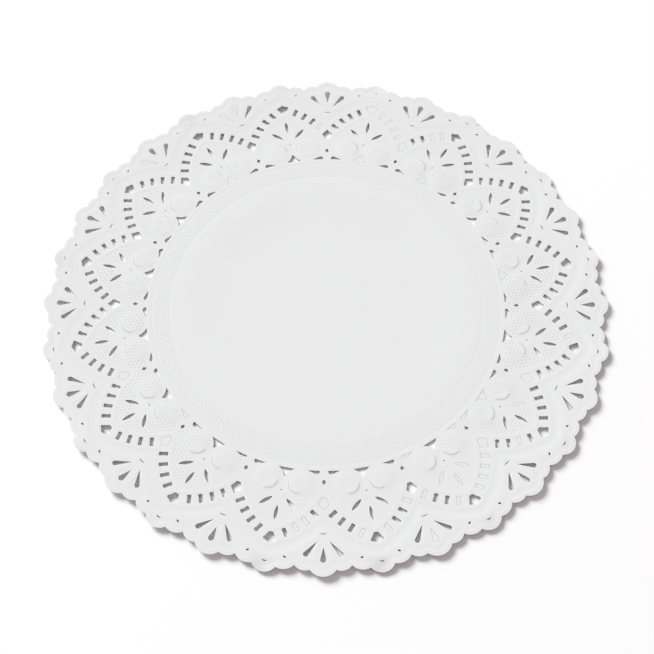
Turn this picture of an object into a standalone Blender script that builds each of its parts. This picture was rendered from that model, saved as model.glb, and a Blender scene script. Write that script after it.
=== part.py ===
"""Round paper lace doily: one flat die-cut sheet with a plain centre and a pierced, scalloped border.

Metres, +Z up. The origin is the middle of the underside, and the tip of one lace arch points along +Y.
The border repeats one arch with half a shell fan on each side. A repeat is drawn with its arch on +Y,
so that x runs across the arch and y out from the middle of the doily.
"""

import math

import bmesh
import bpy
from mathutils import Matrix, Vector

# The sheet
OUTER_RADIUS = 0.1524
REPEATS = 16
REPEAT_ANGLE = math.tau / REPEATS
BORDER_THICKNESS = 0.0012
CENTRE_THICKNESS = 0.0010
CENTRE_RADIUS = 0.0840
CENTRE_SIDES = 96

# The scalloped edge: where each lobe starts and how far it bows out, around one repeat
NOTCH_RADIUS = 0.1492
LOBE_STEPS = 6
TIP_HALF_ANGLE = 2.3
TIP_RISE = OUTER_RADIUS - NOTCH_RADIUS * math.cos(math.radians(TIP_HALF_ANGLE))
LOBES = (
    # start angle in degrees, start radius, rise
    (-TIP_HALF_ANGLE, NOTCH_RADIUS, TIP_RISE),
    (TIP_HALF_ANGLE, NOTCH_RADIUS, 0.0016),
    (5.75, 0.1470, 0.0014),
    (8.75, 0.1489, 0.0035),
    (13.75, 0.1489, 0.0014),
    (16.75, 0.1470, 0.0016),
)

# The arch: a ladder of slots along a circle, from the tip hole down to the foot hole on either side
ARCH_CENTRE = Vector((-0.0175, 0.0949))
ARCH_RADIUS = 0.0433
SLOT_ANGLES = tuple(math.radians(56.0 - 7.7 * rung) for rung in range(4))
SLOT_LENGTH = 0.0047
SLOT_WIDTH = 0.0022
TIP_HOLE_Y = 0.1345
FOOT_HOLE_Y = 0.1143
SHIELD_PINCH = 0.92
SHIELDS = {
    # half width, height of the outer point, of the side corners and of the inner edge, half inner edge
    "tip": (0.0038, 0.0029, 0.0012, -0.0029, 0.0011),
    "foot": (0.0031, 0.0036, 0.0006, -0.0031, 0.0011),
}

# Inside the arch: three petals around a hub, and a curved triangle between the two berries
HUB_Y = 0.1102
PETAL_STEPS = 4
PETALS = (
    # tilt in degrees, distance of its middle from the hub, length, width
    (0.0, 0.0112, 0.0078, 0.0018),
    (48.8, 0.0086, 0.0079, 0.0019),
    (-48.8, 0.0086, 0.0079, 0.0019),
)
BERRY_CENTRE = Vector((0.0087, 0.1041))
TRIANGLE_BASE_Y = 0.0968
TRIANGLE_HALF_BASE = 0.0041
TRIANGLE_TOP_Y = 0.1016
TRIANGLE_STEPS = 3

# Between two arches: the three drops of the shell fan
DROP_STEPS = 6
DROPS = (
    # angle of the point in degrees, its radius, angle of the round end, its radius, width
    (0.0, 0.1373, 0.0, 0.1452, 0.0030),
    (1.3, 0.1343, 3.8, 0.1421, 0.0026),
    (-1.3, 0.1343, -3.8, 0.1421, 0.0026),
)

PAPER_COLOUR = (0.84, 0.84, 0.85, 1.0)
PAPER_ROUGHNESS = 0.9


def polar(degrees, radius):
    """The point at this angle from +Y, clockwise seen from above, and this distance from the middle."""
    angle = math.radians(degrees)
    return Vector((radius * math.sin(angle), radius * math.cos(angle)))


def turned(points, angle):
    """The points turned clockwise about the middle of the doily."""
    turn = Matrix.Rotation(-angle, 2)
    return [turn @ point for point in points]


def bowed(start, end, rise, steps):
    """Points of the arc that leaves start and bows out by rise before end, without end itself."""
    chord = end - start
    outward = Vector((-chord.y, chord.x)).normalized()
    radius = (chord.length_squared / 4 + rise**2) / (2 * rise)
    centre = (start + end) / 2 + outward * (rise - radius)
    sweep = 2 * math.asin(chord.length / 2 / radius)
    arm = start - centre
    return [centre + Matrix.Rotation(-sweep * i / steps, 2) @ arm for i in range(steps)]


def pinched(corners, share):
    """A polygon whose sides are drawn in: the middle of each lies at this share of its distance."""
    points = []
    for corner, following in zip(corners, corners[1:] + corners[:1]):
        points += [corner, (corner + following) / 2 * share]
    return points


def scalloped_edge():
    points = []
    for repeat in range(REPEATS):
        for lobe, (angle, radius, rise) in enumerate(LOBES):
            next_angle, next_radius, _ = LOBES[(lobe + 1) % len(LOBES)]
            if lobe == len(LOBES) - 1:
                next_angle += math.degrees(REPEAT_ANGLE)
            arc = bowed(polar(angle, radius), polar(next_angle, next_radius), rise, LOBE_STEPS)
            points += turned(arc, repeat * REPEAT_ANGLE)
    return points


def shield(kind, middle_y):
    """A five-sided hole with drawn-in sides, its point outwards and a short inner edge."""
    half_width, point_y, side_y, inner_y, half_inner = SHIELDS[kind]
    right = [Vector((half_width, side_y)), Vector((half_inner, inner_y))]
    left = [Vector((-corner.x, corner.y)) for corner in reversed(right)]
    corners = [Vector((0, point_y))] + right + left
    return [point + Vector((0, middle_y)) for point in pinched(corners, SHIELD_PINCH)]


def slots():
    """The four slots of the arch's right side, each square to the arch, and their mirror images."""
    found = []
    for angle in SLOT_ANGLES:
        along = Vector((math.cos(angle), math.sin(angle)))
        across = Vector((-along.y, along.x))
        middle = ARCH_CENTRE + along * ARCH_RADIUS
        signs = ((1, 1), (1, -1), (-1, -1), (-1, 1))
        corners = [
            middle + along * (SLOT_LENGTH / 2 * end) + across * (SLOT_WIDTH / 2 * side)
            for end, side in signs
        ]
        found += [corners, [Vector((-corner.x, corner.y)) for corner in corners]]
    return found


def petal(tilt, distance, length, width):
    """A pointed leaf that leans from the arch's axis by tilt degrees."""
    start, end = Vector((0, distance - length / 2)), Vector((0, distance + length / 2))
    outline = bowed(start, end, width / 2, PETAL_STEPS) + bowed(end, start, width / 2, PETAL_STEPS)
    return [point + Vector((0, HUB_Y)) for point in turned(outline, math.radians(tilt))]


def triangle():
    """The gap between the berries and the inner band. Its sides follow the berries' rims."""
    corner = Vector((TRIANGLE_HALF_BASE, TRIANGLE_BASE_Y))
    top = Vector((0, TRIANGLE_TOP_Y))
    first, last = (corner - BERRY_CENTRE), (top - BERRY_CENTRE)
    sweep = first.angle_signed(last)
    side = [
        BERRY_CENTRE + (Matrix.Rotation(-sweep * i / TRIANGLE_STEPS, 2) @ first).normalized()
        * (first.length + (last.length - first.length) * i / TRIANGLE_STEPS)
        for i in range(TRIANGLE_STEPS)
    ]
    return side + [top] + [Vector((-point.x, point.y)) for point in reversed(side)]


def drop(point_angle, point_radius, end_angle, end_radius, width):
    """A drop whose point is towards the middle of the doily, between two arches."""
    point = polar(point_angle, point_radius)
    along = (polar(end_angle, end_radius) - point).normalized()
    bulb = polar(end_angle, end_radius) - along * width / 2
    half_sweep = math.pi - math.acos(width / 2 / (bulb - point).length)
    arm = along * width / 2
    turns = [half_sweep * (1 - 2 * i / DROP_STEPS) for i in range(DROP_STEPS + 1)]
    round_end = [bulb + Matrix.Rotation(angle, 2) @ arm for angle in turns]
    return turned([point] + round_end, REPEAT_ANGLE / 2)


def gaps():
    """Every gap that is cut through, around the whole border."""
    tip_hole = shield("tip", TIP_HOLE_Y)
    foot_hole = turned(shield("foot", FOOT_HOLE_Y), REPEAT_ANGLE / 2)
    in_one_repeat = [tip_hole, foot_hole, triangle()]
    in_one_repeat += slots()
    in_one_repeat += [petal(*row) for row in PETALS]
    in_one_repeat += [drop(*row) for row in DROPS]
    return [turned(gap, i * REPEAT_ANGLE) for i in range(REPEATS) for gap in in_one_repeat]


def new_collection(name):
    collection = bpy.data.collections.new(name)
    bpy.context.scene.collection.children.link(collection)
    return collection


def paper():
    material = bpy.data.materials.new("white_paper")
    material.use_nodes = True
    shader = material.node_tree.nodes["Principled BSDF"]
    shader.inputs["Base Color"].default_value = PAPER_COLOUR
    shader.inputs["Roughness"].default_value = PAPER_ROUGHNESS
    shader.inputs["Metallic"].default_value = 0.0
    return material


def cut_sheet(name, collection):
    """The blank with its edge and gaps: a filled flat curve, made a mesh so that it can be recessed."""
    curve = bpy.data.curves.new(name + "_outline", "CURVE")
    curve.dimensions = "2D"
    curve.fill_mode = "BOTH"
    curve.extrude = BORDER_THICKNESS / 2
    for outline in [scalloped_edge()] + gaps():
        spline = curve.splines.new("POLY")
        spline.points.add(len(outline) - 1)
        spline.use_cyclic_u = True
        for place, point in zip(spline.points, outline):
            place.co = (point.x, point.y, 0, 1)
    drawn = bpy.data.objects.new(name + "_outline", curve)
    drawn.location.z = BORDER_THICKNESS / 2
    collection.objects.link(drawn)
    bpy.context.view_layer.update()
    mesh = bpy.data.meshes.new_from_object(drawn.evaluated_get(bpy.context.evaluated_depsgraph_get()))
    mesh.name = name
    sheet = bpy.data.objects.new(name, mesh)
    sheet.matrix_world = drawn.matrix_world
    collection.objects.link(sheet)
    bpy.data.objects.remove(drawn)
    welded = bmesh.new()
    welded.from_mesh(mesh)
    bmesh.ops.remove_doubles(welded, verts=welded.verts, dist=1e-6)
    bmesh.ops.recalc_face_normals(welded, faces=welded.faces)
    welded.to_mesh(mesh)
    welded.free()
    return sheet


def recess_centre(sheet, collection):
    """Leaves the plain centre thinner than the border, which is raised all over by its embossing."""
    depth = BORDER_THICKNESS - CENTRE_THICKNESS
    height = BORDER_THICKNESS
    bpy.ops.mesh.primitive_cylinder_add(
        vertices=CENTRE_SIDES,
        radius=CENTRE_RADIUS,
        depth=height,
        location=(0, 0, BORDER_THICKNESS - depth + height / 2),
    )
    cutter = bpy.context.object
    cutter.name = "centre_cutter"
    cutter.hide_render = True
    cutter.display_type = "WIRE"
    for holder in cutter.users_collection:
        holder.objects.unlink(cutter)
    collection.objects.link(cutter)
    recess = sheet.modifiers.new("Plain centre", "BOOLEAN")
    recess.operation = "DIFFERENCE"
    recess.solver = "EXACT"
    recess.object = cutter


for old in list(bpy.data.objects):
    bpy.data.objects.remove(old)
doily = new_collection("lace_doily")
cutters = new_collection("doily_cutters")
doily_sheet = cut_sheet("doily_sheet", doily)
doily_sheet.data.materials.append(paper())
recess_centre(doily_sheet, cutters)
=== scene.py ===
import math

import bmesh
import bpy
import numpy as np
from mathutils import Matrix, Vector, geometry


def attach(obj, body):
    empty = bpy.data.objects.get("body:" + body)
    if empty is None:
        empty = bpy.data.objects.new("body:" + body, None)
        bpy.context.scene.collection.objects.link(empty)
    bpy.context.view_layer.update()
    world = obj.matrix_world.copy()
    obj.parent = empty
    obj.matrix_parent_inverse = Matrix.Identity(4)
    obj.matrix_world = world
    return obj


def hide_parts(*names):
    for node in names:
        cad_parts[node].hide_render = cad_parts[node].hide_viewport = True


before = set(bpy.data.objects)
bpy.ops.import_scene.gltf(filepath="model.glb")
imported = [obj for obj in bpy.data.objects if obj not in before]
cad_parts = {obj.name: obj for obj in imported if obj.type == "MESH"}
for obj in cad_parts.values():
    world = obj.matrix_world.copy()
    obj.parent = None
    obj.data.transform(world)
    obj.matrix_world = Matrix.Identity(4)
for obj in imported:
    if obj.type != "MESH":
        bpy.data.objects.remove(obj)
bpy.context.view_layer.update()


# ---------------------------------------------------------------------------------------------
# The doily: one sheet of thin white paper. A steel die cuts its holes and its scalloped edge and
# presses the lace into the border in the same stroke. The middle is left plain for a plate.

# The border repeats one arch with half a shell fan on each side. A repeat is drawn in mm with its
# arch on +Y, so that x runs across the arch and y out from the middle of the doily.
MM_IN_METRE = 1000
REPEATS = 16
HALF_REPEAT = 180 / REPEATS


def polar(degrees, radius):
    """Points at this angle from +Y, clockwise seen from above."""
    angle = np.radians(degrees)
    return np.stack(np.broadcast_arrays(radius * np.sin(angle), radius * np.cos(angle)), -1)


def turned(points, degrees):
    """The points turned clockwise about the middle of the doily."""
    cosine, sine = math.cos(math.radians(degrees)), math.sin(math.radians(degrees))
    return np.asarray(points) @ np.array([[cosine, -sine], [sine, cosine]])


def flipped(points):
    """The mirror image across the arch's axis, run the other way round."""
    return np.asarray(points)[::-1] * (-1, 1)


def bowed(start, end, rise, steps):
    """An arc from start to end that bows to the left of its way by rise."""
    start, end = np.asarray(start, float), np.asarray(end, float)
    chord = end - start
    length = np.hypot(*chord)
    left = np.array([-chord[1], chord[0]]) / length
    radius = (length**2 / 4 + rise**2) / (2 * rise)
    centre = (start + end) / 2 + left * (rise - radius)
    half = math.asin(length / 2 / radius)
    turn = np.linspace(half, -half, steps + 1)[:, None]
    return centre + radius * (left * np.cos(turn) + (-chord / length) * np.sin(turn))


def curve_point(start, pull, end, t):
    """The point at share t of a curve from start to end that is drawn towards pull."""
    return (1 - t) ** 2 * start + 2 * t * (1 - t) * pull + t**2 * end


def softened(corners, radius, steps=3):
    """A closed outline whose corners are rounded, each with a few points on a short curve."""
    corners = np.asarray(corners, float)
    out = []
    for before, corner, after in zip(np.roll(corners, 1, 0), corners, np.roll(corners, -1, 0)):
        back, on = before - corner, after - corner
        reach = min(radius, 0.45 * np.hypot(*back), 0.45 * np.hypot(*on))
        first = corner + back / np.hypot(*back) * reach
        last = corner + on / np.hypot(*on) * reach
        out += [curve_point(first, corner, last, t) for t in np.linspace(0, 1, steps)]
    return np.array(out)


def filled_in(points, gap, closed=True):
    """The same outline with points added, so that no two neighbours lie further apart than gap."""
    points = np.asarray(points, float)
    ends = np.roll(points, -1, 0) if closed else points[1:]
    out = []
    for start, end in zip(points, ends):
        parts = max(1, math.ceil(np.hypot(*(end - start)) / gap - 1e-6))
        out += [start + (end - start) * i / parts for i in range(parts)]
    return np.array(out if closed else out + [points[-1]])


# The scalloped edge: lobes that bow out between notches, each notch an angle and a radius. It is
# kept for half a repeat, from the middle of the tip lobe to the middle of the fan lobe.
OUTER_RADIUS = 152.4
TIP_NOTCH = (2.3, 149.2)
SIDE_NOTCH = (5.75, 147.0)
FAN_NOTCH = (8.75, 148.9)
FAR_FAN_NOTCH = (2 * HALF_REPEAT - FAN_NOTCH[0], FAN_NOTCH[1])
TIP_RISE = OUTER_RADIUS - TIP_NOTCH[1] * math.cos(math.radians(TIP_NOTCH[0]))
TIP_STEPS, SIDE_STEPS, FAN_STEPS = 16, 12, 18

tip_lobe = bowed(polar(-TIP_NOTCH[0], TIP_NOTCH[1]), polar(*TIP_NOTCH), TIP_RISE, TIP_STEPS)
first_lobe = bowed(polar(*TIP_NOTCH), polar(*SIDE_NOTCH), 1.6, SIDE_STEPS)
second_lobe = bowed(polar(*SIDE_NOTCH), polar(*FAN_NOTCH), 1.4, SIDE_STEPS)
fan_lobe = bowed(polar(*FAN_NOTCH), polar(*FAR_FAN_NOTCH), 3.5, FAN_STEPS)
edge_half = np.concatenate([
    tip_lobe[TIP_STEPS // 2:], first_lobe[1:], second_lobe[1:], fan_lobe[1:FAN_STEPS // 2 + 1],
])
edge_half[0] = (0, OUTER_RADIUS)
edge_outline = np.concatenate([flipped(edge_half)[:-1], edge_half])


# The holes. Those that sit on an axis are drawn as their right half, from the top down to the foot.
def shield_half(half_width, point_y, side_y, inner_y, half_inner, middle_y):
    """Half of a five-sided hole: a point, a side corner and a short inner edge.

    The two slanting sides are drawn in, and the corners at their ends are left out to round them.
    """
    corners = np.array([(0, point_y), (half_width, side_y), (half_inner, inner_y), (0, inner_y)])
    out = [corners[0]]
    for start, end, drawn_in in zip(corners, corners[1:], (0.93, 0.93, 1.0)):
        pull = (start + end) / 2 * (2 * drawn_in - 1)
        out += [curve_point(start, pull, end, t) for t in (0.15, 0.5, 0.85)]
    return np.array(out + [corners[-1]]) + (0, middle_y)


def drop_outline(point_angle, point_radius, end_angle, end_radius, width):
    """A tear: a point towards the middle of the doily, and a round end."""
    point = polar(point_angle, point_radius)
    along = polar(end_angle, end_radius) - point
    along /= np.hypot(*along)
    across = np.array([along[1], -along[0]])
    bulb = polar(end_angle, end_radius) - along * width / 2
    reach = math.pi - math.acos(width / 2 / np.hypot(*(bulb - point)))
    turn = np.linspace(reach, -reach, 13)[:, None]
    round_end = bulb + width / 2 * (along * np.cos(turn) - across * np.sin(turn))
    return np.concatenate([[point], round_end])


# Each berry is a round swelling beside the hub of the arch, with a smaller disc on top
BERRY = np.array([8.73, 104.1])
BERRY_DISC = np.array([7.6, 104.8])
HUB = np.array([0, 110.2])


def beside_berry(share):
    """A point of the triangle's right side, which runs along the berry's rim."""
    way = math.radians(98.5 + 49.0 * share)
    return BERRY + (8.8 - 0.17 * share) * np.array([-math.sin(way), math.cos(way)])


tip_hole = shield_half(3.8, 2.9, 1.2, -2.9, 1.1, 134.5)
foot_hole = shield_half(3.1, 3.6, 0.6, -3.1, 1.1, 114.3)
top_petal = bowed((0, 125.3), (0, 117.5), 0.9, 12)
triangle_side = [beside_berry(share) for share in np.linspace(0.24, 1, 8)]
triangle = np.concatenate([[(0, 101.5)], triangle_side, [(2.0, 96.8), (0, 96.75)]])
hub_nick = np.array([(0, 109.35), (0.45, 109.35), (0, 108.6)])
lobe_crescent = np.array([(0, 147.2), (0.8, 147.0), (1.4, 146.3), (0.7, 146.45), (0, 146.6)])
fan_crescent = np.array([(0, 130.6), (1.0, 130.5), (2.0, 130.05), (1.0, 130.15), (0, 130.15)])
diamond = np.array([(0, 104.4), (0.45, 103.75), (1.08, 103.0), (0.5, 102.1), (0, 101.45)])
middle_drop = drop_outline(0, 137.3, 0, 145.2, 3.0)
middle_drop_half = np.concatenate([middle_drop[7:], middle_drop[:1]])

ON_ARCH_AXIS = [tip_hole, top_petal, triangle, hub_nick, lobe_crescent]
ON_FAN_AXIS = [foot_hole, fan_crescent, diamond, middle_drop_half]

# The arch: a ladder of four slots down each side, square to a circle. Their sides are drawn in.
ARCH_CENTRE = np.array([-17.5, 94.9])
ARCH_RADIUS = 43.3
TOP_RUNG, RUNG_STEP = 56.0, 7.7
SLOT_LENGTH, SLOT_WIDTH, SLOT_WAIST = 4.7, 2.2, 0.86
SLOT_CORNERS = ((1, 1), (1, -1), (0, -SLOT_WAIST), (-1, -1), (-1, 1), (0, SLOT_WAIST))

slots = []
for rung in range(4):
    rung_angle = math.radians(TOP_RUNG - RUNG_STEP * rung)
    slot_way = np.array([math.cos(rung_angle), math.sin(rung_angle)])
    slot_across = np.array([-slot_way[1], slot_way[0]])
    slot_middle = ARCH_CENTRE + ARCH_RADIUS * slot_way
    box = [
        slot_middle + slot_way * (SLOT_LENGTH / 2) * end + slot_across * (SLOT_WIDTH / 2) * side
        for end, side in SLOT_CORNERS
    ]
    slots.append(filled_in(softened(box, 0.45), 1.1))

# Inside the arch: a petal that leans from the hub, and a comma between the berry and the band
PETAL_FOOT, PETAL_TIP, PETAL_RISE, PETAL_LEAN = (0, 4.65), (0, 12.55), 0.95, 48.8
petal_right = np.concatenate([
    bowed(PETAL_FOOT, PETAL_TIP, PETAL_RISE, 11)[:-1],
    bowed(PETAL_TIP, PETAL_FOOT, PETAL_RISE, 11)[:-1],
])
petal_right = turned(petal_right, PETAL_LEAN) + HUB
comma = softened([
    (10.6, 96.35), (12.4, 96.05), (14.6, 95.7), (16.9, 95.3), (16.9, 96.6),
    (15.9, 97.7), (14.4, 97.35), (13.1, 96.9), (11.9, 96.55),
], 0.4, 2)

# Outside the arch: the side drop of the fan, and a small nick beside the tip lobe
side_drop = turned(drop_outline(-1.3, 134.3, -3.8, 142.1, 2.6), HALF_REPEAT)
side_nick = softened([
    (1.0, 0.1), (0.4, -0.5), (-0.6, -0.55), (-1.0, -0.05), (-0.3, 0.5), (0.5, 0.55),
], 0.4, 2)
side_nick = turned(side_nick, -8) + polar(3.7, 143.5)
IN_REPEAT = slots + [petal_right, side_drop, comma, side_nick]


def whole(half):
    """The closed outline of a hole drawn as its right half."""
    return np.concatenate([half, flipped(half)[1:-1]])


# Some of the punched-out paper is still in its hole. Repeats count clockwise from the one on +Y.
UNCUT = (
    (whole(tip_hole), (1,)),
    (turned(whole(foot_hole), HALF_REPEAT), (1, 5, 6, 8, 10, 11)),
    (slots[0], (1, 7, 8)),
    (flipped(slots[0]), (2, 5, 7, 8)),
    (slots[1], (1, 6)),
    (flipped(slots[1]), (2, 7, 9)),
    (slots[2], (1,)),
    (flipped(slots[2]), (7, 9)),
    (slots[3], (0, 1, 7)),
    (flipped(slots[3]), (7, 8)),
    (petal_right, (7,)),
    (flipped(petal_right), (6, 7)),
    (whole(top_petal), (7,)),
    (whole(triangle), (1, 2, 4, 6, 15)),
    (comma, (6, 7)),
    (flipped(comma), (7, 11)),
    (turned(whole(middle_drop_half), HALF_REPEAT), (7, 15)),
    (side_drop, (14, 15)),
)

hole_outlines = (
    [whole(half) for half in ON_ARCH_AXIS]
    + [turned(whole(half), side * HALF_REPEAT) for half in ON_FAN_AXIS for side in (1, -1)]
    + IN_REPEAT
    + [flipped(hole) for hole in IN_REPEAT]
)
repeat_outline = np.concatenate([[(0, 0)], edge_outline])


def distance_to(points, outlines, closed=True):
    """How far each point lies from the nearest of these outlines."""
    nearest = np.full(len(points), 1e9)
    for outline in outlines:
        starts = np.asarray(outline, float)
        ends = np.roll(starts, -1, 0) if closed else starts[1:]
        starts = starts if closed else starts[:-1]
        way = ends - starts
        length = np.maximum((way**2).sum(1), 1e-12)
        t = ((points[:, None] - starts) * way).sum(2) / length
        gap = points[:, None] - (starts + way * np.clip(t, 0, 1)[..., None])
        nearest = np.minimum(nearest, np.sqrt((gap**2).sum(2).min(1)))
    return nearest


def inside(points, outline):
    """Which points lie inside this closed outline."""
    x, y = points[:, None, 0], points[:, None, 1]
    a, b = np.asarray(outline, float), np.roll(np.asarray(outline, float), -1, 0)
    climb = np.where(b[:, 1] == a[:, 1], 1e-12, b[:, 1] - a[:, 1])
    beside = (a[:, 1] > y) != (b[:, 1] > y)
    crossed_at = (b[:, 0] - a[:, 0]) * (y - a[:, 1]) / climb + a[:, 0]
    return (beside & (x < crossed_at)).sum(1) % 2 == 1


def on_paper(points):
    """Which points lie on the paper of this repeat: within its outline and in none of its holes."""
    here = inside(points, repeat_outline)
    for outline in hole_outlines:
        here &= ~inside(points, outline)
    return here


# The embossing, as a height at any point of one repeat
def ridge(distance, half_width):
    """1 on a line, falling smoothly to 0 at half its width."""
    return 0.5 + 0.5 * np.cos(np.pi * np.clip(np.abs(distance) / half_width, 0, 1))


def ramp(value, start, end):
    """0 up to start and 1 from end on, with a smooth climb between them."""
    t = np.clip((value - start) / (end - start), 0, 1)
    return t * t * (3 - 2 * t)


def arch_offset(points):
    """Distance from the ladder's middle line, positive outside the arch."""
    x, y = np.abs(points[:, 0]), points[:, 1]
    return np.hypot(x - ARCH_CENTRE[0], y - ARCH_CENTRE[1]) - ARCH_RADIUS


# Each berry's disc has a stepped lip on the side that faces the hub. It is full within 50 degrees
# to either side of its middle, and gone past 66.
LIP_MIDDLE = 128
LIP_GONE, LIP_FULL = math.cos(math.radians(66)), math.cos(math.radians(50))


def lip_at(points):
    """How fully the lip is there, from 0 to 1, by the way to each point from its disc's middle."""
    to_right = points * np.where(points[:, :1] < 0, (-1, 1), (1, 1)) - BERRY_DISC
    way = np.degrees(np.arctan2(to_right[:, 1], to_right[:, 0]))
    return ramp(np.cos(np.radians(way - LIP_MIDDLE)), LIP_GONE, LIP_FULL)


def in_netting(points):
    """How far each point lies inside the areas that are pressed with small dots, from 0 to 1."""
    x, y = np.abs(points[:, 0]), points[:, 1]
    inside_arch = ramp(-arch_offset(points), 4.0, 4.8) * ramp(np.hypot(x, y), 97.9, 98.7)
    off_hub = ramp(x, 1.5, 2.3) * ramp(np.hypot(x, y - HUB[1]), 7.0, 8.0)
    off_holes = ramp(distance_to(points, hole_outlines), 0.8, 1.4)
    from_disc = np.hypot(x - BERRY_DISC[0], y - BERRY_DISC[1])
    off_lip = 1 - lip_at(points) * ridge(from_disc - 5.2, 2.2)
    return inside_arch * off_hub * off_holes * off_lip


# The plain middle steps down to the band, and a bead parts the band from the lace. A rail runs on
# either side of the ladder, and two ribs run up each fan.
BAND_STEP = (83.4, 84.6)
BEAD_RADIUS = 96.0
BERRY_RADIUS, BERRY_SLOPE = 8.4, 5.0
HUB_RING = 1.9
RAIL_OFFSETS = (-3.5, 3.5)
fan_ribs = [
    turned([polar(side * 1.4, 135.5), polar(side * 2.1, 145.5)], fan * HALF_REPEAT)
    for side in (1, -1) for fan in (1, -1)
]

# How far the press moves the paper up, and for the band and the very edge down
BAND_DROP, BEAD_HEIGHT, LACE_HEIGHT = 0.04, 0.06, 0.03
RAIL_HEIGHT, FAN_HEIGHT, RIB_HEIGHT = 0.07, 0.08, 0.12
EDGE_BEAD_HEIGHT, EDGE_DROP = 0.07, 0.04
BERRY_HEIGHT, LIP_HEIGHT, HUB_HEIGHT = 0.16, 0.10, 0.10


def embossing(points):
    """How high the press leaves each point."""
    x, y = np.abs(points[:, 0]), points[:, 1]
    radius = np.hypot(x, y)
    offset = arch_offset(points)
    to_hole = distance_to(points, hole_outlines)
    to_edge = distance_to(points, [edge_outline], closed=False)
    height = -BAND_DROP * ramp(radius, *BAND_STEP) + BEAD_HEIGHT * ridge(radius - BEAD_RADIUS, 1.0)
    lace = ramp(radius, BEAD_RADIUS, 97.5)
    height += lace * LACE_HEIGHT * ramp(to_hole, 0, 0.9)
    # The arch's two rails, and the fan outside the outer one
    above_foot = ramp(radius, 110.0, 114.0)
    for rail in RAIL_OFFSETS:
        height += above_foot * RAIL_HEIGHT * ridge(offset - rail, 1.1)
    height += above_foot * FAN_HEIGHT * ramp(offset, 7.6, 8.8) * ramp(to_edge, 3.5, 5.0)
    height += RIB_HEIGHT * ridge(distance_to(points, fan_ribs, closed=False), 0.9)
    height += EDGE_BEAD_HEIGHT * ridge(to_edge - 1.6, 1.1) - EDGE_DROP * ridge(to_edge, 0.8)
    # The berry, the disc with its lip, and the ring of the hub
    from_berry = np.hypot(x - BERRY[0], y - BERRY[1])
    height += lace * BERRY_HEIGHT * ramp(BERRY_RADIUS - from_berry, 0, BERRY_SLOPE)
    from_disc = np.hypot(x - BERRY_DISC[0], y - BERRY_DISC[1])
    lip_slope = ramp(from_disc, 0.5, 4.2) * (1 - ramp(from_disc, 4.4, 5.2))
    height += LIP_HEIGHT * lip_at(points) * lip_slope
    height += HUB_HEIGHT * ridge(np.hypot(x, y - HUB[1]) - HUB_RING, 0.9)
    return height


# One repeat is drawn flat: outlines first, then points along the ridges, then points between them
def spread(kept, found, gap):
    """Adds to kept the points of found that lie at least gap from all those kept so far."""
    cell = 2.0
    grid = {}
    for p in kept:
        grid.setdefault((math.floor(p[0] / cell), math.floor(p[1] / cell)), []).append(p)
    out = list(kept)
    for p in found:
        i, j = math.floor(p[0] / cell), math.floor(p[1] / cell)
        near = (q for a in (-1, 0, 1) for b in (-1, 0, 1) for q in grid.get((i + a, j + b), ()))
        if all((p[0] - q[0]) ** 2 + (p[1] - q[1]) ** 2 >= gap * gap for q in near):
            out.append(p)
            grid.setdefault((i, j), []).append(p)
    return np.array(out)


def within(points, margin):
    """The points that lie on the paper of this repeat, more than margin from its two cuts."""
    points = np.asarray(points, float)
    slope = math.radians(HALF_REPEAT)
    from_cut = points[:, 1] * math.sin(slope) - np.abs(points[:, 0]) * math.cos(slope)
    return points[(from_cut > margin) & on_paper(points)]


def ways_in(outline):
    """At each point of a closed outline, the way that leads square into it."""
    way = np.roll(outline, -1, 0) - np.roll(outline, 1, 0)
    way /= np.maximum(np.hypot(*way.T), 1e-9)[:, None]
    left = np.stack([-way[:, 1], way[:, 0]], -1)
    following = np.roll(outline, -1, 0)
    anticlockwise = (outline[:, 0] * following[:, 1] - outline[:, 1] * following[:, 0]).sum() > 0
    return left if anticlockwise else -left


def on_ring(radius, parts):
    """The points that part a ring's share of this repeat into equal parts, without its ends."""
    return polar(np.linspace(-HALF_REPEAT, HALF_REPEAT, parts + 1)[1:-1], radius)


# The straight cuts between two repeats: points at the same radii on both, so that they weld, at
# the ends of the holes on the fan's axis and clear of those holes everywhere else
CUT_RADII = [
    0, 14, 28, 42, 54, 64, 72, 78, 82, 83.6, 84.3, 85.0, 86, 88, 90, 91.5, 92.7, 93.6, 94.5, 95.2,
    96.0, 96.9, *np.arange(98.2, 150, 1.25),
]
rim = float(np.hypot(*edge_half[-1]))
hole_spans = [(half[-1][1], half[0][1]) for half in ON_FAN_AXIS]
hole_ends = [end for span in hole_spans for end in span]
on_cut = [
    radius for radius in CUT_RADII
    if min(abs(radius - end) for end in hole_ends) > 0.6
    and not any(low < radius < high for low, high in hole_spans)
    and radius < rim - 0.7
]
on_cut = sorted(on_cut + hole_ends) + [rim]

outline_chains = [edge_outline]
outline_chains += [turned([(0, r) for r in on_cut], side * HALF_REPEAT) for side in (1, -1)]
for half in ON_ARCH_AXIS:
    outline_chains.append(np.concatenate([whole(half), half[:1]]))
for half in ON_FAN_AXIS:
    outline_chains.append(turned(flipped(half)[::-1], HALF_REPEAT))
    outline_chains.append(turned(half, -HALF_REPEAT))
for hole in IN_REPEAT:
    closed_hole = np.concatenate([hole, hole[:1]])
    outline_chains += [closed_hole, flipped(closed_hole)]

# Chains that meet share the point where they meet
fixed = []
links = []
for chain in outline_chains:
    numbers = []
    for p in chain:
        match = [i for i, q in enumerate(fixed) if abs(p[0] - q[0]) + abs(p[1] - q[1]) < 1e-4]
        if match:
            numbers.append(match[0])
        else:
            fixed.append(tuple(p))
            numbers.append(len(fixed) - 1)
    links += [(a, b) for a, b in zip(numbers, numbers[1:]) if a != b]

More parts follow.
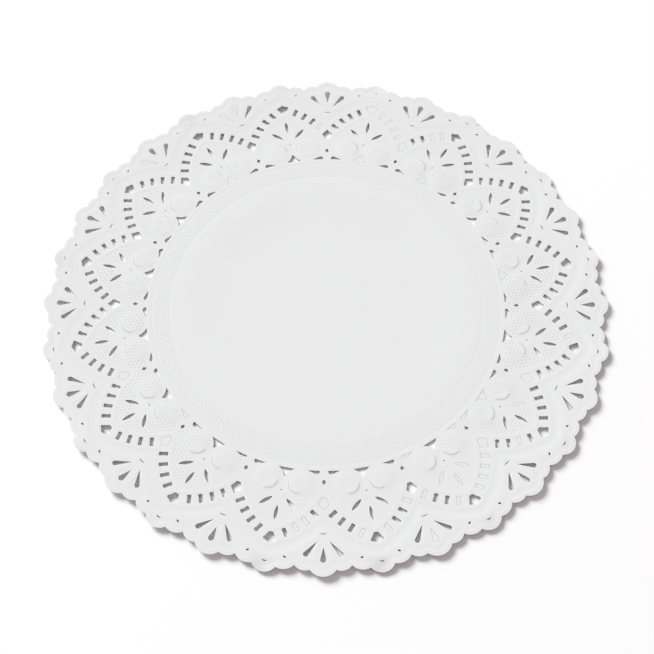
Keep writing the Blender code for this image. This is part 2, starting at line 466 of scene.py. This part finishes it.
# Points along the ridges: round every hole, inside the edge, along the rails, on the rings of the
# band's two rims and round the lips of the discs
HOLE_GAPS = (0.75, 1.5)
EDGE_GAPS = (0.6, 1.5, 2.4, 3.3, 4.0)
RAIL_GAPS = (-4.45, -3.5, -2.55, 2.55, 3.5, 4.45, 5.6, 6.3, 7.0, 7.7, 8.6)
BAND_RINGS = (
    (83.6, 24), (84.3, 24), (85.0, 24), (86.0, 20), (92.7, 24), (93.6, 26), (94.5, 26), (95.2, 30),
    (96.0, 34), (96.9, 34),
)
LIP_RINGS = (3.7, 4.4, 4.8, 5.2, 6.0)

ridge_points = [outline - ways_in(outline) * gap for outline in hole_outlines for gap in HOLE_GAPS]
fine_edge = filled_in(edge_outline, 0.8, closed=False)
edge_way = np.gradient(fine_edge, axis=0)
edge_way /= np.hypot(*edge_way.T)[:, None]
edge_way_in = np.stack([edge_way[:, 1], -edge_way[:, 0]], -1)
ridge_points += [fine_edge + edge_way_in * gap for gap in EDGE_GAPS]
for gap in RAIL_GAPS:
    rail_radius = ARCH_RADIUS + gap
    turn = np.arange(-20, 75, 0.9) / rail_radius
    rail = ARCH_CENTRE + rail_radius * np.stack([np.cos(turn), np.sin(turn)], -1)
    rail = rail[rail[:, 0] > 0]
    ridge_points += [rail, rail * (-1, 1)]
ridge_points += [on_ring(radius, parts) for radius, parts in BAND_RINGS]
for radius in LIP_RINGS:
    turn = np.radians(np.arange(40, 216, 9))
    lip_ring = BERRY_DISC + radius * np.stack([np.cos(turn), np.sin(turn)], -1)
    ridge_points += [lip_ring, lip_ring * (-1, 1)]

# Points between them: rings in the plain middle and the band, and staggered rows in the lace
PLAIN_RINGS = (
    (14, 2), (28, 2), (42, 3), (54, 4), (64, 6), (72, 8), (78, 10), (82, 14), (87.7, 14),
    (89.7, 14), (91.3, 16),
)
ROW_PITCH = 1.4
plain = np.concatenate([on_ring(radius, parts) for radius, parts in PLAIN_RINGS])
between = [
    (x + ROW_PITCH / 2 * (row % 2), y)
    for row, y in enumerate(np.arange(97.5, 152.0, ROW_PITCH * math.sqrt(0.75)))
    for x in np.arange(-32.2, 32.6, ROW_PITCH)
]

points = np.array(fixed)
for found, gap, margin in (
    (np.concatenate(ridge_points), 0.66, 0.35),
    (plain, 0.9, 0.5),
    (between, 1.05, 0.5),
):
    points = spread(points, within(found, margin), gap)

verts, _, faces, *_ = geometry.delaunay_2d_cdt([Vector(p) for p in points], links, [], 0, 1e-7)
verts = np.array([(v.x, v.y) for v in verts])
faces = np.array(faces)
faces = faces[on_paper(verts[faces].mean(1))]
used, faces = np.unique(faces, return_inverse=True)
verts, faces = verts[used], faces.reshape(-1, 3)

# All faces look up, and slivers without an area are left out
corners = verts[faces]
to_second, to_third = corners[:, 1] - corners[:, 0], corners[:, 2] - corners[:, 0]
areas = (to_second[:, 0] * to_third[:, 1] - to_second[:, 1] * to_third[:, 0]) / 2
faces[areas < 0] = faces[areas < 0][:, ::-1]
faces = faces[np.abs(areas) > 1e-3]
repeat_area = float(np.abs(areas).sum())

repeat_mesh = bpy.data.meshes.new("lace_repeat")
repeat_points = np.column_stack([verts, embossing(verts)]) / MM_IN_METRE
repeat_mesh.from_pydata(repeat_points.tolist(), [], faces.tolist())
marks = {
    "netting": in_netting(verts),
    "to_edge": distance_to(verts, [edge_outline], closed=False),
}
for name, values in marks.items():
    mark = repeat_mesh.attributes.new(name, "FLOAT", "POINT")
    mark.data.foreach_set("value", values.astype(np.float32))
lace_repeat = bpy.data.objects.new("lace_repeat", repeat_mesh)
bpy.context.scene.collection.objects.link(lace_repeat)


# The paper: uncoated white stock, whose fibres show as a faint mottle. The press leaves dots in the
# netting, fine lines beside the rails, ribs across the fans, and scrolls and strokes in the band.
class Shade:
    """A socket in a material. Sums and products of these add Math nodes to its tree."""

    tree = None

    def __init__(self, socket):
        self.socket = socket

    @classmethod
    def node(cls, kind, settings=None, output=0, **inputs):
        """Adds one node. An input is given by its name, or by its number as in _0."""
        made = cls.tree.nodes.new(kind)
        for name, value in (settings or {}).items():
            setattr(made, name, value)
        for name, value in inputs.items():
            numbered = name[0] == "_" and name[1:].isdigit()
            target = made.inputs[int(name[1:]) if numbered else name.replace("_", " ")]
            if isinstance(value, Shade):
                cls.tree.links.new(value.socket, target)
            else:
                target.default_value = value
        return cls(made.outputs[output])

    def maths(self, what, *others, clamp=False):
        values = dict(zip(("_0", "_1", "_2"), (self, *others)))
        return self.node("ShaderNodeMath", {"operation": what, "use_clamp": clamp}, **values)

    def __add__(self, other):
        return self.maths("ADD", other)

    def __sub__(self, other):
        return self.maths("SUBTRACT", other)

    def __mul__(self, other):
        return self.maths("MULTIPLY", other)

    def __truediv__(self, other):
        return self.maths("DIVIDE", other)

    def __rsub__(self, other):
        return (self * -1.0) + other

    __radd__ = __add__
    __rmul__ = __mul__


white_paper = bpy.data.materials.new("white_paper")
white_paper.use_nodes = True
Shade.tree = white_paper.node_tree
paper_shader = white_paper.node_tree.nodes["Principled BSDF"]
place = Shade.node("ShaderNodeTexCoord", output="Object")
east = Shade.node("ShaderNodeSeparateXYZ", Vector=place)
north = Shade(east.socket.node.outputs["Y"])
millimetres_out = (east * east + north * north).maths("SQRT") * MM_IN_METRE

mottle = Shade.node("ShaderNodeTexNoise", Vector=place, Scale=420.0, Detail=3.0, Roughness=0.6)
clouds = Shade.node("ShaderNodeTexNoise", Vector=place, Scale=28.0, Detail=2.0)
fibres = Shade.node("ShaderNodeTexNoise", Vector=place, Scale=2600.0, Detail=2.0)

# The same place in the repeat's own frame, in mm: outwards along the arch's axis, and across it
# to either side alike
repeat_turn = east.maths("ARCTAN2", north) * (REPEATS / math.tau)
from_arch_axis = ((repeat_turn + 0.5).maths("FRACT") - 0.5) * (math.tau / REPEATS)
across = (from_arch_axis.maths("SINE") * millimetres_out).maths("ABSOLUTE")
outwards = from_arch_axis.maths("COSINE") * millimetres_out


def away(x, y):
    """Distance from a point of the repeat."""
    dx, dy = across - x, outwards - y
    return (dx * dx + dy * dy).maths("SQRT")


def line(distance, half_width):
    """A pressed line: 1 on it, fading to 0 at half its width."""
    return 1.0 - (distance / half_width).maths("ABSOLUTE").maths("MINIMUM", 1.0)


def grow(value, start, end):
    """0 up to start and 1 from end on, with a straight climb between them."""
    return ((value - start) / (end - start)).maths("MULTIPLY", 1.0, clamp=True)


netting = Shade.node("ShaderNodeAttribute", {"attribute_name": "netting"}, output="Fac")
to_edge = Shade.node("ShaderNodeAttribute", {"attribute_name": "to_edge"}, output="Fac")

# Dots: one even net over the whole doily, where three sets of waves at 60 degrees meet. The press
# bites deeper to the left and right than to the front and back.
DOT_PITCH = 1.85
waves = 0.0
for degrees in (28, 88, 148):
    wave_east, wave_north = math.cos(math.radians(degrees)), math.sin(math.radians(degrees))
    wave = (east * wave_east + north * wave_north) * (MM_IN_METRE * math.tau / DOT_PITCH)
    waves = waves + wave.maths("COSINE")
sideways = (east * east - north * north) / (east * east + north * north + 1e-6)
bite = sideways * 0.26 + 0.44 + (clouds - 0.5) * 0.8
dots = (waves - 0.6).maths("MAXIMUM", 0.0) * netting * bite.maths("MAXIMUM", 0.12)

# The crease under each berry's lip
disc_x, disc_y = across - BERRY_DISC[0], outwards - BERRY_DISC[1]
from_disc = away(*BERRY_DISC)
lip_east, lip_north = math.cos(math.radians(LIP_MIDDLE)), math.sin(math.radians(LIP_MIDDLE))
lip_share = (disc_x * lip_east + disc_y * lip_north) / (from_disc + 0.1)
lip_crease = line(from_disc - 4.75, 0.5) * grow(lip_share, LIP_GONE, LIP_FULL)

# The lines along the arch, those along the edge, and the ribs across the fans
RIB_PITCH = 0.85
arch = away(*ARCH_CENTRE) - ARCH_RADIUS
inner_line = line(arch + 3.0, 0.35) * 0.6
outer_lines = line(arch - 3.1, 0.35) + line(arch - 4.4, 0.45) * 0.8 + line(arch - 5.7, 0.45)
arch_lines = (inner_line + outer_lines) * grow(millimetres_out, 111.0, 114.5)
edge_lines = line(to_edge - 1.0, 0.35) + line(to_edge - 2.3, 0.45) * 0.6
from_fan_axis = (from_arch_axis.maths("ABSOLUTE") - math.pi / REPEATS) * (180 / math.pi)
fan_ends = grow(millimetres_out, 118.0, 120.0) * grow(to_edge, 3.2, 4.2)
fan_sides = grow(arch, 7.6, 8.4) * (1.0 - grow(from_fan_axis.maths("ABSOLUTE"), 3.6, 4.4))
cross_ribs = (millimetres_out * (math.tau / RIB_PITCH)).maths("SINE") * fan_ends * fan_sides

# The inner band: a small scroll every 14 mm, and between them wavy strokes that slant across it.
# The press bites deeper on one side of the doily and in some places more than in others.
SCROLLS = 40
SCROLL_PITCH = 1.5
BAND_MIDDLE = 89.0
band = grow(millimetres_out, 84.8, 85.6) * (1.0 - grow(millimetres_out, 92.4, 93.2))
heading_of = east.maths("ARCTAN2", north)
scroll_turn = heading_of * (SCROLLS / math.tau)
nearest_scroll = (scroll_turn + 0.5).maths("FLOOR")
hand = (nearest_scroll * 0.5).maths("FRACT") * 4.0 - 1.0
along_band = (scroll_turn - nearest_scroll) * (math.tau / SCROLLS * BAND_MIDDLE) * hand
across_band = millimetres_out - BAND_MIDDLE
scroll_reach = (along_band * along_band + across_band * across_band).maths("SQRT")
wound = scroll_reach * (math.tau / SCROLL_PITCH) + across_band.maths("ARCTAN2", along_band)
scroll = wound.maths("COSINE")
in_scroll = 1.0 - grow(scroll_reach, 2.2, 3.2)
STROKES, STROKE_SLANT, STROKE_WAVE = 250.0, 2.7, 22.0
knots = Shade.node("ShaderNodeTexNoise", Vector=place, Scale=230.0, Detail=0.0)
wavy = knots * STROKE_WAVE + heading_of * STROKES + millimetres_out * STROKE_SLANT
strokes = wavy.maths("SINE")
band_bite = (1.0 - east * MM_IN_METRE / millimetres_out * 0.15) * (clouds * 1.4 + 0.2)
band_pattern = (strokes * (1.0 - in_scroll) + scroll * in_scroll * 1.1) * band * band_bite
band_lines = line(millimetres_out - 93.9, 0.4) + line(millimetres_out - 84.6, 0.4) * 0.8

# How high each mark stands, in mm, and then the grain of the paper, in metres
relief = (
    dots * -0.035 - lip_crease * 0.06 - arch_lines * 0.028 - edge_lines * 0.028
    + cross_ribs * 0.016 + band_pattern * 0.024 - band_lines * 0.04
) * 0.001 + fibres * 0.000010 + mottle * 0.000025
surface = Shade.node("ShaderNodeBump", Strength=1.0, Distance=1.0, Height=relief)

# Painted shade: little light reaches the pits and creases, so the colour there is made a shade
# darker than the paper round them. The band is a little darker all over, and lighter where its
# strokes and scrolls stand up.
paper_tone_and_painted_shade = (mottle * 0.010 + clouds * 0.016 + 0.987) * (
    1.0 - dots * 0.11 - lip_crease * 0.24 - arch_lines * 0.03
    + band_pattern * 0.012 - band_lines * 0.02 - band * 0.012
)
PAPER_WHITE = (0.76, 0.76, 0.763, 1.0)
tint = Shade.node(
    "ShaderNodeMix", {"data_type": "RGBA", "blend_type": "MULTIPLY"}, output=2,
    _0=1.0, _6=PAPER_WHITE,
    _7=Shade.node("ShaderNodeCombineColor", Red=paper_tone_and_painted_shade, Green=paper_tone_and_painted_shade, Blue=paper_tone_and_painted_shade),
)
dullness = clouds * 0.06 + 0.84
for name, shade in (("Base Color", tint), ("Roughness", dullness), ("Normal", surface)):
    white_paper.node_tree.links.new(shade.socket, paper_shader.inputs[name])
paper_shader.inputs["Specular IOR Level"].default_value = 0.35


# The repeat goes round the doily as copies of one drawn piece, then they are welded into one sheet
lace_ring = bpy.data.node_groups.new("lace_ring", "GeometryNodeTree")


def ring_input(name, kind):
    return lace_ring.interface.new_socket(name, in_out="INPUT", socket_type=kind)


ring_input("Geometry", "NodeSocketGeometry")
repeats_socket = ring_input("Repeats", "NodeSocketInt")
paper_socket = ring_input("Paper", "NodeSocketMaterial")
lace_ring.interface.new_socket("Geometry", in_out="OUTPUT", socket_type="NodeSocketGeometry")


def ring_node(kind, settings=None, **inputs):
    """Adds one node. An input is given by its name, or by its number as in _0."""
    made = lace_ring.nodes.new(kind)
    for name, value in (settings or {}).items():
        setattr(made, name, value)
    for name, value in inputs.items():
        target = made.inputs[int(name[1:]) if name[0] == "_" else name.replace("_", " ")]
        if isinstance(value, bpy.types.NodeSocket):
            lace_ring.links.new(value, target)
        else:
            target.default_value = value
    return made


given = ring_node("NodeGroupInput").outputs
seats = ring_node("GeometryNodePoints", Count=given["Repeats"])
seat_number = ring_node("GeometryNodeInputIndex")
one_turn = ring_node("ShaderNodeMath", {"operation": "DIVIDE"}, _0=-math.tau, _1=given["Repeats"])
seat_turn = ring_node(
    "ShaderNodeMath", {"operation": "MULTIPLY"}, _0=seat_number.outputs[0], _1=one_turn.outputs[0]
)
about_z = ring_node("ShaderNodeCombineXYZ", Z=seat_turn.outputs[0])
copies = ring_node(
    "GeometryNodeInstanceOnPoints", Points=seats.outputs[0], Instance=given["Geometry"],
    Rotation=about_z.outputs[0],
)
joined = ring_node("GeometryNodeRealizeInstances", Geometry=copies.outputs[0])
papered = ring_node("GeometryNodeSetMaterial", Geometry=joined.outputs[0], Material=given["Paper"])
ring_node("NodeGroupOutput", Geometry=papered.outputs[0])

around_doily = lace_repeat.modifiers.new("Lace ring", "NODES")
around_doily.node_group = lace_ring
around_doily[repeats_socket.identifier] = REPEATS
around_doily[paper_socket.identifier] = white_paper
bpy.context.view_layer.update()
evaluated = lace_repeat.evaluated_get(bpy.context.evaluated_depsgraph_get())
sheet_mesh = bpy.data.meshes.new_from_object(evaluated)
sheet_mesh.name = "doily_paper"
bpy.data.objects.remove(lace_repeat)
bpy.data.meshes.remove(repeat_mesh)

welded = bmesh.new()
welded.from_mesh(sheet_mesh)
bmesh.ops.remove_doubles(welded, verts=welded.verts, dist=2e-6)
bmesh.ops.recalc_face_normals(welded, faces=welded.faces)
if sum(face.normal.z for face in welded.faces) < 0:
    bmesh.ops.reverse_faces(welded, faces=welded.faces)

# The paper left in a hole lies flush in it. It hangs on at one corner, with a thin gap all round.
FLAP_GAP = 0.10
HINGE = 0.6
left_in_area = 0.0
for hole, repeats in UNCUT:
    outline = filled_in(hole, 0.45)
    from_hinge = np.hypot(*(outline - outline[0]).T)
    gaps = FLAP_GAP * ramp(from_hinge, 0, HINGE)
    flap = outline + ways_in(outline) * gaps[:, None]
    clear_of_edge = distance_to(flap, [outline]) > 0.9 * gaps - 1e-6
    flap, flap_heights = flap[clear_of_edge], embossing(outline)[clear_of_edge]
    for repeat in repeats:
        lying = np.column_stack([turned(flap, repeat * 2 * HALF_REPEAT), flap_heights])
        face = welded.faces.new([welded.verts.new(p) for p in (lying / MM_IN_METRE).tolist()])
        face.normal_update()
        if face.normal.z < 0:
            face.normal_flip()
        left_in_area += face.calc_area()
        bmesh.ops.triangulate(welded, faces=[face])
for edge in welded.edges:
    edge.smooth = not edge.is_boundary
for face in welded.faces:
    face.material_index = 0
sheet_mesh.materials.clear()
sheet_mesh.materials.append(white_paper)
welded.to_mesh(sheet_mesh)
welded.free()

# How the sheet lies: the middle rests flat and the pressed border lifts, more in some places than
# in others. Tip lobes are caught and bent a little, each by its own amount, clockwise from +Y.
PAPER_THICKNESS = 0.16
CLEAR_OF_TABLE = 0.01
BORDER_LIFT, EDGE_LIFT, MIDDLE_WAVE = 0.95, 1.5, 0.10
EDGE_LIFT_FROM, EDGE_LIFT_REACH = 90, 62
TIP_BEND = (
    0.2, -0.4, 0.2, -0.3, 0.3, 0.1, -0.3, -0.4, -0.9, -0.8, -0.2, 0.3, -0.2, 0.3, 0.2, 0.4,
)
CRUMPLE_HEIGHT = 0.14

co = np.empty(len(sheet_mesh.vertices) * 3)
sheet_mesh.vertices.foreach_get("co", co)
co = co.reshape(-1, 3) * MM_IN_METRE
sheet_radius = np.hypot(co[:, 0], co[:, 1])
heading = np.arctan2(co[:, 0], co[:, 1])

uneven = 1 + sum(
    share * np.sin(waves_round * heading + start)
    for share, waves_round, start in ((0.09, 2, 0.7), (0.07, 3, 2.1), (0.05, 7, 4.0))
)
towards_edge = np.clip(sheet_radius - EDGE_LIFT_FROM, 0, None) / EDGE_LIFT_REACH
co[:, 2] += (BORDER_LIFT * ramp(sheet_radius, 44, 97) + EDGE_LIFT * towards_edge**2) * uneven
in_middle = ramp(sheet_radius, 20, 60) * (1 - ramp(sheet_radius, 76, 84))
swell = 1 + np.sin(2 * heading + 1.2) * np.sin(sheet_radius / 24)
co[:, 2] += MIDDLE_WAVE * in_middle * swell

turn_in_repeats = heading / (math.tau / REPEATS)
nearest_tip = np.round(turn_in_repeats)
on_lobe = ramp(sheet_radius, 143.0, OUTER_RADIUS)
on_lobe *= ridge((turn_in_repeats - nearest_tip) * 2 * HALF_REPEAT, 3.4)
bend = np.array(TIP_BEND)[nearest_tip.astype(int) % REPEATS]
co[:, 2] += bend * on_lobe
crumple = np.sin(co[:, 0] * 2.3) * np.sin(co[:, 1] * 2.9 + 1.0)
co[:, 2] += CRUMPLE_HEIGHT * crumple * on_lobe * ramp(np.abs(bend), 0.5, 0.8)
co[:, 2] += PAPER_THICKNESS + CLEAR_OF_TABLE
sheet_mesh.vertices.foreach_set("co", (co / MM_IN_METRE).ravel())
sheet_mesh.update()
for face in sheet_mesh.polygons:
    face.use_smooth = True

doily_paper = bpy.data.objects.new("doily_paper", sheet_mesh)
bpy.context.scene.collection.objects.link(doily_paper)
thickness = doily_paper.modifiers.new("Paper thickness", "SOLIDIFY")
thickness.thickness = PAPER_THICKNESS / MM_IN_METRE
thickness.offset = -1.0
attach(doily_paper, "root")
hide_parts("doily_sheet")


# ---------------------------------------------------------------------------------------------
# The table top that the doily lies on, one wide soft light from behind on the left under an even
# pale sky, and the camera above the front edge.

# The table top. Sizes from here on are in metres.
REACH = 6
floor_mesh = bpy.data.meshes.new("floor")
floor_corners = [(-REACH, -REACH, 0), (REACH, -REACH, 0), (REACH, REACH, 0), (-REACH, REACH, 0)]
floor_mesh.from_pydata(floor_corners, [], [(0, 1, 2, 3)])
floor = bpy.data.objects.new("floor", floor_mesh)
bpy.context.scene.collection.objects.link(floor)
pale_top = bpy.data.materials.new("pale_top")
pale_top.use_nodes = True
top_shader = pale_top.node_tree.nodes["Principled BSDF"]
top_shader.inputs["Base Color"].default_value = (0.95, 0.94, 0.942, 1)
top_shader.inputs["Roughness"].default_value = 0.9
top_shader.inputs["Specular IOR Level"].default_value = 0.1
floor_mesh.materials.append(pale_top)
REPEATS * repeat_area * 1e-6 + left_in_area


def seen_from(azimuth, elevation):
    """The way from the doily to a lamp or the camera, in degrees round from the front and up."""
    a, e = math.radians(azimuth), math.radians(elevation)
    return Vector((math.sin(a) * math.cos(e), -math.cos(a) * math.cos(e), math.sin(e)))


KEY_AZIMUTH, KEY_ELEVATION = 215, 33
KEY_DISTANCE, KEY_WIDTH, KEY_WATTS = 9.0, 4.2, 1048.0
key_way = seen_from(KEY_AZIMUTH, KEY_ELEVATION)
key_lamp = bpy.data.lights.new("key", "AREA")
key_lamp.shape, key_lamp.size, key_lamp.energy = "DISK", KEY_WIDTH, KEY_WATTS
key_lamp.color = (0.9455, 1.0, 0.9805)
key = bpy.data.objects.new("key", key_lamp)
key.location = key_way * KEY_DISTANCE
key.rotation_mode = "QUATERNION"
key.rotation_quaternion = key_way.to_track_quat("Z", "Y")
bpy.context.scene.collection.objects.link(key)

world = bpy.data.worlds.new("studio")
world.use_nodes = True
sky = world.node_tree.nodes["Background"]
sky.inputs["Color"].default_value = (1.0, 0.915, 0.945, 1)
sky.inputs["Strength"].default_value = 0.43
bpy.context.scene.world = world
bpy.context.scene.view_settings.view_transform = "Standard"

# The camera looks at a point given to the right of, beyond and above the middle of the doily
LENS = 70.27
CAMERA_AZIMUTH, CAMERA_ELEVATION, CAMERA_ROLL = -10.325, 61.01, 0.572
CAMERA_DISTANCE = 0.6823
AIM_RIGHT, AIM_BEYOND, AIM_UP = 0.000625, -0.01427, 0.0018
back = seen_from(CAMERA_AZIMUTH, CAMERA_ELEVATION)
right = seen_from(CAMERA_AZIMUTH + 90, 0)
beyond = seen_from(CAMERA_AZIMUTH + 180, 0)
up = back.cross(right)
roll = math.radians(CAMERA_ROLL)
camera_right = right * math.cos(roll) - up * math.sin(roll)
camera_up = right * math.sin(roll) + up * math.cos(roll)
camera = bpy.data.objects.new("camera", bpy.data.cameras.new("camera"))
camera.data.lens = LENS
camera.data.sensor_width = 36.0
aim = right * AIM_RIGHT + beyond * AIM_BEYOND + Vector((0, 0, AIM_UP))
camera.location = aim + back * CAMERA_DISTANCE
camera.rotation_mode = "QUATERNION"
camera.rotation_quaternion = Matrix((camera_right, camera_up, back)).transposed().to_quaternion()
bpy.context.scene.collection.objects.link(camera)
bpy.context.scene.camera = camera
